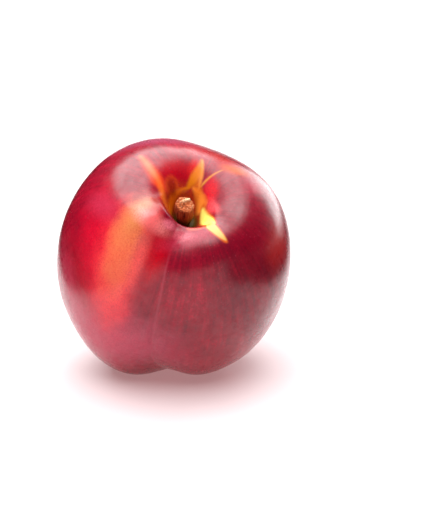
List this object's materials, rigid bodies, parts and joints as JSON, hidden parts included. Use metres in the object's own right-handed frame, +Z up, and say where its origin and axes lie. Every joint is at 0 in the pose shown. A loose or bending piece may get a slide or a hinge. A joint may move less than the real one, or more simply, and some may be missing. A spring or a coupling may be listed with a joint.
{
  "type": "nectarine",
  "caption": "Whole ripe nectarine lying on its side lobes, with a smooth round body, a deep stem cavity holding a short woody stem, and a shallow suture groove down the front.",
  "frame": {"origin": "on the resting surface, below the middle of the fruit's box", "axes": "+Z up as it rests, -Y towards the side with the suture and the stem cavity, +X to the right seen from there"},
  "size_m": [0.0706, 0.074, 0.0724],
  "materials": {
    "skin": "smooth waxy skin with a soft gloss, deep crimson with coral, orange and yellow streaks",
    "stem": "dry rough bark with a torn fibrous end"
  },
  "bodies": {
    "root": {"fruit": "skin", "stem": "stem"}
  },
  "joints": []
}
